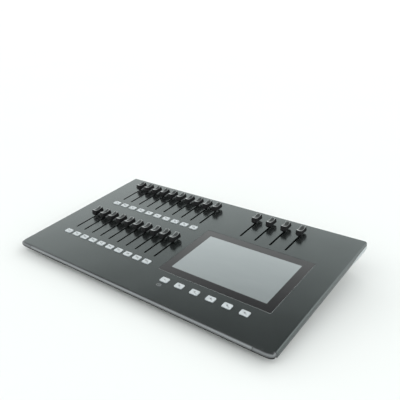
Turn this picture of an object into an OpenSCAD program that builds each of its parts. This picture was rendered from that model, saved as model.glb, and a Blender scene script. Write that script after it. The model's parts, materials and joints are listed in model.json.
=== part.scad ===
// Lighting control desk: a sloping steel cover with two banks of ten channel faders, four playback
// faders, a touch screen and sprung keys, closed below by a wedge-shaped base pan.
// Axes: +X to the operator's right, +Y to the back, +Z up. Origin: middle of the box, on the table.

/* [Desk] */
// Width of the desk across the top cover
desk_w = 459; // [455:1:570]
// Depth of the top cover, measured along its slope
desk_d = 264; // [258:1:330]
// Slope of the control surface, in degrees
tilt = 8; // [5:0.5:12]
// Height of the control surface's front edge above the table
front_h = 15; // [14:0.5:24]

/* [Top cover] */
// Thickness of the cover sheet
cover_t = 2; // [1:0.1:2.6]
// Depth of the side rims below the control surface
rim_h = 8; // [6:0.5:10]
// Depth of the side rims at their deep rear end
cheek_h = 12; // [10:0.5:16]
// Depth of the short rim along the back
back_rim_h = 3; // [2.5:0.5:6]
// Radius of the two back corners in plan
back_corner_r = 4; // [2:0.5:10]

/* [Front trim] */
// Thickness of the rounded front edge
trim_h = 7.5; // [6:0.5:8]
// Depth of the front trim from front to back
trim_d = 4; // [3.75:0.25:4.75]
// Length of each corner cap along the front
corner_l = 26; // [20:1:40]
// Length of the round at each front corner, along the front
corner_round = 12; // [10:1:18]
// Length of the round at each front corner, along the side
corner_sweep = 5; // [4.5:0.5:14]
// Gap between the trim strip and each corner cap
trim_gap = 0.15; // [0.1:0.05:0.4]

/* [Base pan] */
// Thickness of the pan's floor and walls
pan_t = 1.5; // [1:0.1:2.5]
// How far the pan's side walls stand in from the sides
pan_side_inset = 24; // [20:1:40]
// How far the pan's front wall stands back from the front edge
pan_front_inset = 14; // [12:1:30]
// How far the rear panel stands in from the back edge
rear_inset = 4; // [3.5:0.5:10]
// Height of the rubber feet
foot_h = 3; // [2.5:0.5:4]
// Radius of the rubber feet
foot_r = 8; // [5:0.5:12]
// Distance from a foot's middle to the pan's walls
foot_inset = 18; // [14:1:40]

/* [Faders] */
// Travel of a fader
fader_travel = 45; // [30:1:46]
// Distance between neighbouring channel faders
channel_pitch = 19.05; // [18:0.05:20]
// Distance between neighbouring playback faders
playback_pitch = 25.4; // [20:0.1:28]
// Distance from the left edge to the first channel fader
channel_x = 45.3; // [42:0.1:48]
// Distance from the front edge to the middle of the front bank's travel
front_bank_y = 103.75; // [100:0.25:110]
// Distance from the front bank to the rear bank
bank_pitch = 107.7; // [104:0.1:112]
// Width of a fader slot
slot_w = 3.2; // [2:0.1:4]
// Gap between a fader's lever and the end of its slot
slot_end_gap = 0.75; // [0.5:0.05:2]
// Length of the lever along the slot
lever_l = 4; // [3:0.5:6]
// Gap between a lever and each side of its slot
lever_gap = 0.5; // [0.3:0.05:0.8]
// Length of a fader knob
knob_l = 21; // [16:0.5:24]
// Width of a fader knob
knob_w = 10; // [8:0.5:14]
// Height of a fader knob
knob_h = 9; // [7:0.5:13]
// Gap between a knob and the control surface
knob_gap = 2.5; // [1:0.1:4]

/* [Fader housings] */
// Width of a fader housing
housing_w = 9; // [8:0.5:12]
// Height of a fader housing, which sets the depth of the control board
housing_h = 8; // [7:0.5:8]
// Wall of a fader housing
housing_t = 1; // [0.6:0.1:1.4]
// Gap around the carriage inside its housing
carriage_gap = 0.4; // [0.3:0.1:0.8]
// Length of the carriage under a lever
carriage_l = 9; // [6:0.5:10]

/* [Keys] */
// Width of a key
key_w = 12.7; // [10:0.1:14]
// Depth of a key from front to back
key_d = 9; // [7:0.1:10]
// Corner radius of a key
key_r = 2.2; // [0.5:0.1:3]
// How far a key stands above the control surface
key_proud = 1.2; // [1:0.1:3]
// Travel of a key
key_travel = 0.8; // [0.4:0.1:1]
// Gap around a key in its opening
key_gap = 0.3; // [0.3:0.05:0.6]
// Width of the flange that keeps a key under the cover
key_flange = 1; // [0.8:0.1:1.4]
// Thickness of a key's flange
key_flange_t = 1.2; // [1:0.1:1.6]
// Distance from the front edge to the front row of channel keys
front_key_y = 63.2; // [58:0.1:66]
// Distance from the front edge to the screen keys
screen_key_y = 43.5; // [34:0.1:46]
// Distance between neighbouring screen keys
screen_key_pitch = 25.4; // [20:0.1:28]

/* [Touch screen] */
// Distance from the right edge to the middle of the screen, the screen keys and the playback faders
screen_inset = 127; // [125:0.5:140]
// Distance from the front edge to the middle of the screen's glass
screen_y = 118.1; // [116:0.1:122]
// Width of the screen's glass
glass_w = 179.3; // [160:0.1:182]
// Depth of the screen's glass
glass_d = 117.8; // [100:0.1:118]
// Gap around the glass in its opening
glass_gap = 0.25; // [0.15:0.05:0.5]
// Width of the lit area of the display
lcd_w = 152.4; // [140:0.1:156]
// Depth of the lit area of the display
lcd_d = 91.4; // [80:0.1:96]
// Thickness of the display panel
lcd_t = 4; // [3:0.5:5]
// Overlap of the display tray under the cover
tray_lap = 3.5; // [2.5:0.25:4]
// Thickness of the display tray
tray_h = 6; // [5.5:0.5:7]

/* [Fastenings] */
// Radius of a screw's shank
screw_r = 1.5; // [1.25:0.05:2]
// Radius of a screw's head
screw_head_r = 2.8; // [2.4:0.1:3.5]
// Height of a screw's head
screw_head_h = 1.6; // [1.2:0.1:2]
// Radial clearance of a screw in its pillar
screw_gap = 0.05; // [0.03:0.01:0.1]
// Radius of the pillars that the pan is screwed to
pillar_r = 3.5; // [3:0.1:4.5]
// Radius of the standoffs that the control board is screwed to
standoff_r = 2.6; // [2.2:0.1:3]
// Thickness of the circuit boards
board_t = 1.6; // [1:0.1:2]

/* [Rear connectors] */
// Radius of the recess in a lighting-data socket
data_recess_r = 9.6; // [9:0.1:10]
// Depth of the recess in a lighting-data socket
data_recess_d = 5; // [4:0.5:8]
// Width of a lighting-data socket's flange
data_flange_w = 26; // [25:0.5:28]
// Height of a lighting-data socket's flange
data_flange_h = 31; // [28:0.5:32]
// Thickness of a lighting-data socket's flange
data_flange_t = 1.8; // [1.2:0.1:2.2]
// Distance between the two lighting-data sockets
data_pitch = 42; // [32:1:60]
// Radius of the power inlet's bore
power_r = 3.2; // [2.6:0.1:4]
// Depth of the power inlet's bore
power_depth = 9; // [6:0.5:12]
// Width of the data-stick socket's mouth
usb_w = 12.6; // [12:0.1:14]
// Height of the data-stick socket's mouth
usb_h = 5.2; // [5:0.1:7]
// Depth of the data-stick socket
usb_depth = 12; // [10:0.5:18]

/* [Hidden] */
CHANNELS = 10;      // channel faders in each bank
BANKS = 2;
PLAYBACKS = 4;
SCREEN_KEYS = 6;
$fn = 48;

function two_digits(n) = n < 10 ? str("0", n) : str(n);
CHANNEL_NUMBERS = [1 : CHANNELS * BANKS];

// Places on the control surface, from its front left corner
screen_x = desk_w - screen_inset;
rear_bank_y = front_bank_y + bank_pitch;
rear_key_y = front_key_y + bank_pitch;
function channel_place(n) = let (i = (n - 1) % CHANNELS, rear = n <= CHANNELS)
    [channel_x + i * channel_pitch, rear ? rear_bank_y : front_bank_y];
function playback_place(n) = [screen_x + (n - (PLAYBACKS + 1) / 2) * playback_pitch, rear_bank_y];
function bump_place(n) = let (i = (n - 1) % CHANNELS, rear = n <= CHANNELS)
    [channel_x + i * channel_pitch, rear ? rear_key_y : front_key_y];
function screen_key_place(n) = [screen_x + (n - (SCREEN_KEYS + 1) / 2) * screen_key_pitch, screen_key_y];
FADER_PLACES = concat([for (n = CHANNEL_NUMBERS) channel_place(n)],
                      [for (n = [1 : PLAYBACKS]) playback_place(n)]);
KEY_PLACES = concat([for (n = CHANNEL_NUMBERS) bump_place(n)],
                    [for (n = [1 : SCREEN_KEYS]) screen_key_place(n)]);

// Levels below the control surface
board_z = -(cover_t + housing_h);
key_play = 0.3;     // gap between a key's flange and the cover, and between a pressed key and its switch
flange_top_z = -(cover_t + key_play);
switch_top_z = flange_top_z - key_flange_t - key_travel - key_play;
switch_body_h = 3.4;
switch_r = 1.7;
switch_w = 6;
piece_gap = 0.05;   // gap between separate pieces that share a node
lcd_edge = 4;       // dead edge of the display panel, around its lit area
glass_r = 2;

// The box of the whole desk, which puts the origin at its bottom centre
nose_r = trim_h / 2;
cap_end_y = corner_sweep + trim_d;
cheek_r = cheek_h - back_rim_h + 1;
front_y = nose_r * (cos(tilt) + sin(tilt)) - nose_r;
back_y = desk_d * cos(tilt) + back_rim_h * sin(tilt);
mid_y = (front_y + back_y) / 2;

// Heights and places of the pan, level with the table
pan_top = foot_h + pan_t;
screw_grip = 5;     // length of thread in a pillar
screw_top = pan_top + screw_grip;
rear_y = desk_d * cos(tilt) - rear_inset;
pan_x0 = pan_side_inset;
pan_x1 = desk_w - pan_side_inset;
function surface_z(y, below = 0) = front_h + y * tan(tilt) - below / cos(tilt);
socket_z = (pan_top + surface_z(rear_y, cover_t)) / 2 - 0.5;
barrel_r = data_recess_r + 1.4;
barrel_l = data_recess_d + 6;

// The sockets stand on either side of the middle pair of pillars
mid_pillar_x = screen_x - glass_w / 2 - 11;
data_x = mid_pillar_x + 38.15;
usb_x = mid_pillar_x - 61.85;
power_x = mid_pillar_x - 111.85;

// Pillars under the cover, for the screws that come up through the pan, level with the table
pillar_inset = 12;
PILLARS = [for (x = [pan_x0 + pillar_inset, mid_pillar_x, pan_x1 - pillar_inset],
               y = [pan_front_inset + pillar_inset, rear_y - pan_t - pillar_inset]) [x, y]];
// Standoffs under the cover, for the screws that hold the control board
standoff_y0 = front_key_y - 12;
standoff_y1 = rear_key_y - 16;
STANDOFFS = [for (x = [channel_x - 12, screen_x - glass_w / 2 - 10, screen_x + glass_w / 2 + 8],
                  y = [standoff_y0, standoff_y1]) [x, y]];
board_x0 = pan_x0 + pan_t + 1.5;
board_x1 = pan_x1 - pan_t - 1.5;
board_y0 = screen_key_y - 9;
board_y1 = rear_bank_y + fader_travel / 2 + 8.5;

// Puts its children in the desk's frame, where they are drawn level with the table
module level() translate([-desk_w / 2, -mid_y, 0]) children();
// Puts its children in the desk's frame, where they are drawn on the sloping control surface
module on_panel() level() translate([0, 0, front_h]) rotate([tilt, 0, 0]) children();

// A rectangle with round corners, about its middle
module round_rect(w, d, r) {
    square([w - 2 * r, d], center = true);
    square([w, d - 2 * r], center = true);
    for (x = [-1, 1], y = [-1, 1]) translate([x * (w / 2 - r), y * (d / 2 - r)]) circle(r);
}

// Points along one quarter of a round end, from its side to its front or back
function quarter(cx, cy, rx, ry, n) = [for (i = [0 : n]) let (a = i * 90 / n)
    [cx - rx * cos(a), cy + ry * sin(a)]];
function mirrored(points) = [for (i = [len(points) - 1 : -1 : 0]) [desk_w - points[i][0], points[i][1]]];
function back_corner() = let (r = back_corner_r, q = quarter(r, desk_d - r, r, r, 6))
    [for (i = [6 : -1 : 0]) q[i]];

// The outline of the desk from above: swept front corners and small back corners
module outline() {
    left = concat(back_corner(), quarter(corner_round, corner_sweep, corner_round, -corner_sweep, 12));
    polygon(concat(left, mirrored(left)));
}

// The outline of the cover sheet, which leaves room for the front trim
module sheet_outline() {
    left = concat(back_corner(), [[0, cap_end_y], [trim_d, cap_end_y]],
                  quarter(corner_round, corner_sweep, corner_round - trim_d, trim_d - corner_sweep, 12));
    polygon(concat(left, mirrored(left)));
}

// The side of the rim: shallow along the front, deep at the rear, round at its lower back corner
module rim_side() {
    arc = [for (i = [0 : 8]) let (a = i * 90 / 8)
        [desk_d - cheek_r * (1 - sin(a)), -back_rim_h - (cheek_r - 1) * cos(a)]];
    ramp_y = desk_d - 58;
    flat_y = desk_d - 34;
    polygon(concat([[0, 0], [0, -rim_h], [ramp_y, -rim_h], [flat_y, -cheek_h]], arc, [[desk_d, 0]]));
}

module top_cover() color([0.10, 0.10, 0.11]) on_panel() difference() {
    union() {
        // sheet, without the strip that the front trim fills
        translate([0, 0, -cover_t]) linear_extrude(cover_t) sheet_outline();
        // side rims and back rim
        for (x = [0, desk_w - cover_t]) intersection() {
            translate([x, 0, 0]) rotate([90, 0, 90]) linear_extrude(cover_t) rim_side();
            translate([0, cap_end_y, -cheek_h]) cube([desk_w, desk_d, cheek_h]);
            translate([0, 0, -cheek_h]) linear_extrude(cheek_h) outline();
        }
        translate([back_corner_r, desk_d - cover_t, -back_rim_h])
            cube([desk_w - 2 * back_corner_r, cover_t, back_rim_h]);
    }
    for (p = FADER_PLACES) translate([p[0], p[1], -cover_t / 2])
        cube([slot_w, fader_travel + lever_l + 2 * slot_end_gap, 2 * cover_t], center = true);
    for (p = KEY_PLACES) translate([p[0], p[1], -2 * cover_t])
        linear_extrude(3 * cover_t) round_rect(key_w + 2 * key_gap, key_d + 2 * key_gap, key_r);
    translate([screen_x, screen_y, -2 * cover_t])
        linear_extrude(3 * cover_t) round_rect(glass_w + 2 * glass_gap, glass_d + 2 * glass_gap, glass_r);
}

// The nose of the front edge, seen from the end: round in front, square behind
module nose() intersection() {
    union() {
        translate([nose_r, -nose_r]) circle(nose_r);
        translate([nose_r, -trim_h]) square([trim_h, trim_h]);
    }
    translate([0, -trim_h]) square([trim_d, trim_h]);
}

module corner_cap() {
    layers = 7;
    layer_h = trim_h / layers;
    // each layer of the cap follows the round nose a little further in or out
    intersection() {
        translate([0, 0, -trim_h]) cube([corner_l - trim_gap, cap_end_y, trim_h]);
        for (i = [0 : layers - 1])
            let (level = (i + 0.5) / layers * 2 - 1, in = nose_r * (1 - sqrt(1 - level * level)))
            translate([0, 0, -trim_h + i * layer_h]) linear_extrude(layer_h) difference() {
                translate([in, in]) outline();
                sheet_outline();
            }
    }
}

module front_trim() color([0.13, 0.13, 0.14]) on_panel() {
    translate([corner_l, 0, 0]) rotate([90, 0, 90]) linear_extrude(desk_w - 2 * corner_l) union() {
        nose();
        // tongue under the cover sheet
        translate([trim_d - 0.5, -cover_t - 2]) square([5.5, 2]);
    }
    corner_cap();
    translate([desk_w, 0, 0]) mirror([1, 0, 0]) corner_cap();
}

// The pan from the side, drawn in by t all round, with its top raised above the cover sheet by lid
module pan_side(t, lid) polygon([
    [pan_front_inset + t, foot_h + t], [rear_y - t, foot_h + t],
    [rear_y - t, surface_z(rear_y - t, cover_t) + lid],
    [pan_front_inset + t, surface_z(pan_front_inset + t, cover_t) + lid]]);

module base_pan() color([0.08, 0.08, 0.085]) level() difference() {
    translate([pan_x0, 0, 0]) rotate([90, 0, 90]) linear_extrude(pan_x1 - pan_x0) pan_side(0, 0);
    translate([pan_x0 + pan_t, 0, 0]) rotate([90, 0, 90])
        linear_extrude(pan_x1 - pan_x0 - 2 * pan_t) pan_side(pan_t, 5);
    for (p = PILLARS) translate([p[0], p[1], 0]) cylinder(r = screw_r + 0.3, h = pan_top + 1);
    for (i = [0, 1]) translate([data_x + i * data_pitch, rear_y - pan_t - 1, socket_z]) rotate([-90, 0, 0])
        cylinder(r = barrel_r + 0.2, h = pan_t + 2);
    translate([power_x, rear_y - pan_t - 1, socket_z]) rotate([-90, 0, 0])
        cylinder(r = power_r + 2.8, h = pan_t + 2);
    translate([usb_x - usb_w / 2 - 1, rear_y - pan_t - 1, socket_z - usb_h / 2 - 1])
        cube([usb_w + 2, pan_t + 2, usb_h + 2]);
    // vents along both sides of the floor
    for (side = [0, 1], i = [0 : 9])
        translate([side == 0 ? pan_x0 + 60 + i * 8 : pan_x1 - 60 - i * 8, rear_y - 90, 0])
            translate([-1.5, 0, 0]) cube([3, 40, pan_top + 1]);
}

module display_glass() color([0.03, 0.03, 0.035]) on_panel() translate([screen_x, screen_y, -cover_t])
    linear_extrude(cover_t) round_rect(glass_w, glass_d, glass_r);

module display_module() on_panel() translate([screen_x, screen_y, 0]) {
    // steel tray, screwed under the cover
    color([0.55, 0.56, 0.58]) difference() {
        translate([0, 0, -cover_t - tray_h]) linear_extrude(tray_h)
            round_rect(glass_w + 2 * tray_lap, glass_d + 2 * tray_lap, 3);
        translate([0, 0, -cover_t - lcd_t]) linear_extrude(lcd_t + 1)
            square([lcd_w + 2 * lcd_edge, lcd_d + 2 * lcd_edge], center = true);
    }
    // display panel in the tray
    color([0.2, 0.22, 0.25]) translate([0, 0, piece_gap - cover_t - lcd_t]) linear_extrude(lcd_t - piece_gap)
        square([lcd_w + 2 * (lcd_edge - piece_gap), lcd_d + 2 * (lcd_edge - piece_gap)], center = true);
}

housing_l = fader_travel + carriage_l + 2 * housing_t + 2;
carriage_h = housing_h - 2 * housing_t - 2 * carriage_gap;
module fader_housings() color([0.6, 0.61, 0.63]) on_panel() for (p = FADER_PLACES)
    translate([p[0], p[1], board_z]) difference() {
        translate([-housing_w / 2, -housing_l / 2, 0]) cube([housing_w, housing_l, housing_h]);
        translate([-housing_w / 2 + housing_t, -housing_l / 2 + housing_t, housing_t])
            cube([housing_w - 2 * housing_t, housing_l - 2 * housing_t, housing_h - 2 * housing_t]);
        translate([-slot_w / 2, -(fader_travel + lever_l) / 2 - slot_end_gap, housing_h / 2])
            cube([slot_w, fader_travel + lever_l + 2 * slot_end_gap, housing_h]);
    }

module tact_switch() {
    translate([-switch_w / 2, -switch_w / 2, board_z + piece_gap]) cube([switch_w, switch_w, switch_body_h]);
    translate([0, 0, board_z + switch_body_h])
        cylinder(r = switch_r, h = switch_top_z - board_z - switch_body_h);
}

module circuit_boards() {
    // control board, under the faders and the keys, with a switch under each key
    color([0.05, 0.3, 0.15]) on_panel() difference() {
        translate([board_x0, board_y0, board_z - board_t])
            cube([board_x1 - board_x0, board_y1 - board_y0, board_t]);
        for (p = STANDOFFS) translate([p[0], p[1], board_z - board_t - 1])
            cylinder(r = screw_r + 0.3, h = board_t + 2);
        rotate([-tilt, 0, 0]) translate([0, 0, -front_h]) for (p = PILLARS)
            translate([p[0], p[1], 0]) cylinder(r = pillar_r + 0.6, h = surface_z(p[1]));
    }
    color([0.15, 0.15, 0.16]) on_panel() for (p = KEY_PLACES) translate([p[0], p[1], 0]) tact_switch();
    // main board, on the pan's floor behind the sockets
    color([0.05, 0.3, 0.15]) level() translate([power_x - 18, rear_y - pan_t - 52, pan_top + 4])
        cube([data_x + data_pitch - power_x + 36, 30, board_t]);
    color([0.6, 0.61, 0.63]) level() for (x = [power_x - 12, data_x + data_pitch + 12], y = [48, 26])
        translate([x, rear_y - pan_t - y, pan_top]) cylinder(r = 2.5, h = 4 - piece_gap);
}

// Lighting-data socket: a flange, a barrel with a recess, and a keyed insert with five contacts
module data_socket() {
    difference() {
        union() {
            rotate([90, 0, 0]) translate([0, 0, -data_flange_t]) linear_extrude(data_flange_t)
                round_rect(data_flange_w, data_flange_h, 3);
            rotate([90, 0, 0]) cylinder(r = barrel_r, h = barrel_l);
        }
        translate([0, data_flange_t - data_recess_d, 0]) rotate([-90, 0, 0])
            cylinder(r = data_recess_r, h = data_recess_d + 1);
        for (a = [0 : 4]) rotate([0, -a * 60 - 150, 0]) translate([5, -8, 0]) rotate([-90, 0, 0])
            cylinder(r = 1, h = 10);
    }
}

module power_inlet() difference() {
    union() {
        rotate([-90, 0, 0]) cylinder(r = power_r + 4.3, h = 1.5);
        rotate([90, 0, 0]) cylinder(r = power_r + 2.6, h = power_depth + 2);
    }
    translate([0, 1.5 - power_depth, 0]) rotate([-90, 0, 0]) cylinder(r = power_r, h = power_depth + 1);
}

module usb_socket() difference() {
    union() {
        translate([-usb_w / 2 - 0.8, -usb_depth - 0.8, -usb_h / 2 - 0.8])
            cube([usb_w + 1.6, usb_depth + 0.8, usb_h + 1.6]);
        translate([-usb_w / 2 - 2, 0, -usb_h / 2 - 2]) cube([usb_w + 4, 0.8, usb_h + 4]);
    }
    translate([-usb_w / 2, -usb_depth, -usb_h / 2]) cube([usb_w, usb_depth + 2, usb_h]);
}

module rear_connectors() color([0.06, 0.06, 0.065]) level() {
    for (i = [0, 1]) translate([data_x + i * data_pitch, rear_y, socket_z]) data_socket();
    translate([power_x, rear_y, socket_z]) power_inlet();
    translate([usb_x, rear_y, socket_z]) usb_socket();
}

module rubber_feet() color([0.04, 0.04, 0.04]) level()
    for (x = [pan_x0 + foot_inset, pan_x1 - foot_inset],
         y = [pan_front_inset + foot_inset + 12, rear_y - foot_inset - 12])
        translate([x, y, 0]) cylinder(r = foot_r, h = foot_h);

// A screw with its head at the bottom, standing on the origin
module screw(length) {
    translate([0, 0, -screw_head_h]) cylinder(r = screw_head_r, h = screw_head_h);
    cylinder(r = screw_r, h = length);
}

module pillars_and_screws() {
    color([0.55, 0.55, 0.57]) level() difference() {
        intersection() {
            for (p = PILLARS) translate([p[0], p[1], pan_top]) cylinder(r = pillar_r, h = surface_z(p[1]));
            translate([0, 0, front_h]) rotate([tilt, 0, 0]) translate([0, 0, -cover_t - 100])
                cube([desk_w, desk_d, 100]);
        }
        for (p = PILLARS) translate([p[0], p[1], 0]) cylinder(r = screw_r + screw_gap, h = screw_top + 0.5);
    }
    color([0.55, 0.55, 0.57]) on_panel() for (p = STANDOFFS) translate([p[0], p[1], board_z]) difference() {
        cylinder(r = standoff_r, h = housing_h);
        translate([0, 0, -1]) cylinder(r = screw_r + screw_gap, h = housing_h - 1);
    }
    color([0.3, 0.3, 0.32]) level() for (p = PILLARS) translate([p[0], p[1], foot_h])
        screw(screw_top - foot_h);
    color([0.3, 0.3, 0.32]) on_panel() for (p = STANDOFFS) translate([p[0], p[1], board_z - board_t])
        screw(board_t + housing_h - 3);
}

// A fader's moving parts at the back end of their travel: knob, lever and carriage
module fader(place) on_panel() translate([place[0], place[1] + fader_travel / 2, 0]) {
    lever_t = slot_w - 2 * lever_gap;
    lever_top = knob_gap + knob_h / 2;
    color([0.75, 0.75, 0.77]) {
        translate([-lever_t / 2, -lever_l / 2, -cover_t - housing_t - carriage_gap])
            cube([lever_t, lever_l, cover_t + housing_t + carriage_gap + lever_top]);
        translate([-(housing_w / 2 - housing_t - carriage_gap), -carriage_l / 2,
                   board_z + housing_t + carriage_gap])
            cube([housing_w - 2 * (housing_t + carriage_gap), carriage_l, carriage_h]);
    }
    color([0.07, 0.07, 0.075]) difference() {
        translate([-knob_w / 2, 0, knob_gap]) rotate([90, 0, 90]) linear_extrude(knob_w) knob_side();
        translate([-lever_t / 2 - piece_gap, -lever_l / 2 - piece_gap, knob_gap - 1])
            cube([lever_t + 2 * piece_gap, lever_l + 2 * piece_gap, knob_h / 2 + 1 + piece_gap]);
        // waist on both sides, for finger and thumb
        for (x = [-1, 1]) translate([x * (knob_w / 2 + 14), -1, -1]) cylinder(r = 15, h = knob_h + 4);
    }
}

// A knob from the side: long at its foot, with a dished top between a front lip and a back lip
module knob_side() {
    lip_in = 2.2;
    dish_r = 19;
    dish_depth = 1.8;
    difference() {
        polygon([[-knob_l / 2, 0], [knob_l / 2, 0], [knob_l / 2 - lip_in, knob_h],
                 [-knob_l / 2 + lip_in, knob_h]]);
        translate([0, knob_h - dish_depth + dish_r]) circle(r = dish_r);
    }
}

module key(place) color([0.86, 0.87, 0.88]) on_panel() translate([place[0], place[1], 0]) {
    translate([0, 0, flange_top_z - 0.01]) linear_extrude(key_proud - flange_top_z + 0.01)
        round_rect(key_w, key_d, key_r);
    translate([0, 0, flange_top_z - key_flange_t]) linear_extrude(key_flange_t)
        round_rect(key_w + 2 * key_flange, key_d + 2 * key_flange, key_r);
}

top_cover();
base_pan();
front_trim();
display_glass();
display_module();
fader_housings();
circuit_boards();
rear_connectors();
rubber_feet();
pillars_and_screws();
for (n = CHANNEL_NUMBERS) {
    fader(channel_place(n));
    key(bump_place(n));
}
for (n = [1 : PLAYBACKS]) fader(playback_place(n));
for (n = [1 : SCREEN_KEYS]) key(screen_key_place(n));
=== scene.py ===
"""Looks of a lighting control desk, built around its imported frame.

Every piece is made in metres in the desk's own frame: +X to the operator's right, +Y to the back and
+Z up. Pieces on the sloping control surface are modelled flat on it, then leaned with it.
"""

import json
import math

import bmesh
import bpy
from mathutils import Matrix, Vector


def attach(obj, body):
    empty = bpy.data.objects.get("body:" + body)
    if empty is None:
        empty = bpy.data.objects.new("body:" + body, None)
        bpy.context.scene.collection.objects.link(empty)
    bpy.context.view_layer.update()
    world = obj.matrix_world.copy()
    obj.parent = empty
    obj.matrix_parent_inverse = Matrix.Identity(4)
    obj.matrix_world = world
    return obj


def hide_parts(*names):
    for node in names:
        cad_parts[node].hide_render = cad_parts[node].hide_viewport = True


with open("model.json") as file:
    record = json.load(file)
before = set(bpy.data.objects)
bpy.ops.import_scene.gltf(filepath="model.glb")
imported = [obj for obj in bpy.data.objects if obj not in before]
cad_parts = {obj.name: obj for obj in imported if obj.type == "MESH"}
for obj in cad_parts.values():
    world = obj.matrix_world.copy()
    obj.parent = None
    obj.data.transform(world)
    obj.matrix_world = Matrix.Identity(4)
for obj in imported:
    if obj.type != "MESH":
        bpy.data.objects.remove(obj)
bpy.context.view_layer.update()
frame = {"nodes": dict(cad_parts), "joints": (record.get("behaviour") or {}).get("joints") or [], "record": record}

bl_info = {
    "name": "Lighting control desk",
    "version": (1, 0, 0),
    "blender": (4, 5, 0),
    "location": "View3D > Sidebar > Desk",
    "description": "Models the pieces, finishes and stage of a small lighting control desk",
    "category": "Object",
}

MM = 0.001


# ---------- where things lie

FADER_JOINT = next(joint for joint in frame["joints"] if "fader" in joint["name"])
FADER_TRAVEL = FADER_JOINT["range_m"][1] - FADER_JOINT["range_m"][0]
SLOPE = math.atan2(FADER_JOINT["axis"][2], FADER_JOINT["axis"][1])


def leaned_box(node):
    """Lowest and highest corner of a node along axes that lean with the control surface."""
    turn = Matrix.Rotation(-SLOPE, 4, "X")
    points = [turn @ vertex.co for vertex in frame["nodes"][node].data.vertices]
    low = Vector([min(p[i] for p in points) for i in range(3)])
    high = Vector([max(p[i] for p in points) for i in range(3)])
    return low, high


# The middle of the surface's front edge, along the leaned axes; SURFACE puts flat work there.
ORIGIN = Vector((0, leaned_box("front_trim")[0].y, leaned_box("display_glass")[1].z))
SURFACE = Matrix.Rotation(SLOPE, 4, "X") @ Matrix.Translation(ORIGIN)


def panel_box(node):
    """Lowest and highest corner of a node: x to the right, y up the slope and z off the surface."""
    low, high = leaned_box(node)
    return low - ORIGIN, high - ORIGIN


def panel_middle(node):
    """Where a key or fader stands on the control surface."""
    low, high = panel_box(node)
    return Vector(((low.x + high.x) / 2, (low.y + high.y) / 2, 0))


CHANNELS = [f"{n:02d}" for n in range(1, 21)]
PLAYBACKS = [str(n) for n in range(1, 5)]
SCREEN_KEYS = [str(n) for n in range(1, 7)]
FADERS = [f"channel_fader_{n}" for n in CHANNELS] + [f"playback_fader_{n}" for n in PLAYBACKS]
KEYS = [f"bump_button_{n}" for n in CHANNELS] + [f"screen_key_{n}" for n in SCREEN_KEYS]
COVER_LOW, COVER_HIGH = panel_box("top_cover")
HALF_W = COVER_HIGH.x
DEPTH = COVER_HIGH.y


# ---------- sizes and colours

def mm(value, name, words):
    """A length property, in millimetres here and in metres in Blender."""
    return bpy.props.FloatProperty(name=name, description=words, default=value * MM, min=0,
                                   subtype="DISTANCE", unit="LENGTH", precision=5)


def angle(degrees, name, words):
    """An angle property, given in degrees."""
    return bpy.props.FloatProperty(name=name, description=words, default=math.radians(degrees),
                                   subtype="ANGLE", unit="ROTATION")


def number(value, name, words):
    """A plain number property."""
    return bpy.props.FloatProperty(name=name, description=words, default=value, min=0)


def colour(rgb, name, words):
    """A colour property."""
    return bpy.props.FloatVectorProperty(name=name, description=words, default=rgb, size=3,
                                         min=0, max=1, subtype="COLOR")


class CoverSizes(bpy.types.PropertyGroup):
    """Sizes of the top cover and its front trim."""
    sheet: mm(2, "Sheet", "Thickness of the cover sheet")
    bend: mm(2.4, "Bend", "Outer radius where the sheet bends down into its rims")
    back_corner: mm(4, "Back corner", "Radius of the back corners in plan")
    rim: mm(8, "Rim", "Depth of the side rims")
    cheek: mm(12, "Cheek", "Depth of the side rims near the back")
    ramp_start: mm(58, "Ramp start", "Where the side rims start to deepen, from the back")
    ramp_end: mm(34, "Ramp end", "Where they reach their full depth, from the back")
    back_rim: mm(3, "Back rim", "Depth of the rim along the back")
    tuck: mm(0.5, "Tuck", "How far the deep end of a side rim slopes in underneath")
    groove: mm(0.35, "Groove", "Depth of the fine line along the middle of a side rim")
    cap_length: mm(26, "Cap length", "Length of a corner cap along the front")
    corner_round: mm(12, "Corner round", "Length of the round at a front corner, along the front")
    corner_sweep: mm(5, "Corner sweep", "Length of the round at a front corner, along the side")
    trim_depth: mm(4, "Trim depth", "Depth of the front trim from front to back")
    trim_height: mm(7.5, "Trim height", "Thickness of the rounded front edge")
    seam: mm(0.8, "Seam", "Gap beside the corner caps")
    slot: mm(3.2, "Slot", "Width of a fader slot")
    slot_length: mm(50.5, "Slot length", "Length of a fader slot")
    key_gap: mm(0.3, "Key gap", "Gap around a key in its opening")
    glass_gap: mm(0.25, "Glass gap", "Gap around the screen glass in its opening")
    cut_edge: mm(0.22, "Cut edge", "Rounding along the sheet's cut edges")
    trim_edge: mm(0.3, "Trim edge", "Rounding along the edges of the front trim")


class KnobSizes(bpy.types.PropertyGroup):
    """Shape of a fader knob."""
    lift: mm(2.5, "Lift", "Gap between a knob and the control surface")
    sag: mm(1.7, "Sag", "How far the top dips between its front lip and its back lip")
    hollow: mm(1.0, "Hollow", "Depth of the hollow in the top")
    undercut: mm(1.3, "Undercut", "How far the foot is drawn in all round")
    lip_in: mm(2.2, "Lip set-back", "How far each lip stands back from the foot's end")
    waist: mm(0.8, "Waist", "How far each flank is drawn in at the middle")
    taper: mm(0.35, "Taper", "How far each flank leans in towards the top")
    rounding: mm(0.45, "Rounding", "Radius along a knob's edges")
    lever: mm(2.2, "Lever", "Thickness of the steel lever")
    lever_length: mm(4, "Lever length", "Length of the lever along its slot")
    lever_grip: mm(4, "Lever grip", "How far the lever reaches up into the knob")
    lever_drop: mm(5, "Lever drop", "How far the lever reaches below the cover sheet")


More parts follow.
